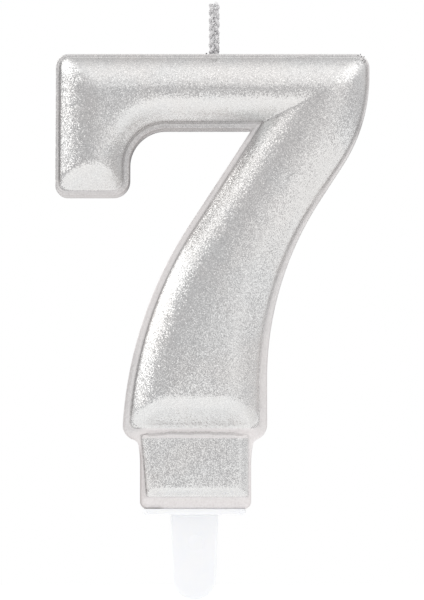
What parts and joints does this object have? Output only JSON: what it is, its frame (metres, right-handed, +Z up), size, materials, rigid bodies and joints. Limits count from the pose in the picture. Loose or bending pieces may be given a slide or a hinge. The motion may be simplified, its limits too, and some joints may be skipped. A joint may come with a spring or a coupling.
{
  "type": "numeral cake candle",
  "caption": "Metallic silver cake candle shaped as a puffed figure seven, standing on a small base block with a white push-in pick and a short glittered wick.",
  "frame": {"origin": "middle of the candle's extent across and front to back, level with the pick's tip", "axes": "+X to the right seen from the front, +Z up along the pick towards the wick, the front face looks along -Y"},
  "size_m": [0.0524, 0.0116, 0.0997],
  "materials": {
    "paraffin": "moulded wax, slightly translucent",
    "silver_lacquer": "satin metallic silver with fine glitter",
    "white_plastic": "smooth moulded, satin",
    "silvered_cotton": "plaited cotton dipped in silver glitter"
  },
  "bodies": {
    "pick": {"pick": "white_plastic"},
    "candle": {"wax_body": "paraffin", "lacquer_skin": "silver_lacquer", "wick_strand_1_in_wax": "silvered_cotton", "wick_strand_2_in_wax": "silvered_cotton", "wick_strand_3_in_wax": "silvered_cotton"},
    "wick_tip": {"wick_strand_1_free": "silvered_cotton", "wick_strand_2_free": "silvered_cotton", "wick_strand_3_free": "silvered_cotton"}
  },
  "joints": [
    {"name": "candle_lift", "type": "slide", "parent": "pick", "child": "candle", "axis": [0, 0, 1], "range_m": [0, 0.014]},
    {"name": "wick_bend", "type": "hinge", "parent": "candle", "child": "wick_tip", "pos_m": [0.00025, 0, 0.09135], "axis": [0, 1, 0], "range_deg": [-60, 60]}
  ]
}
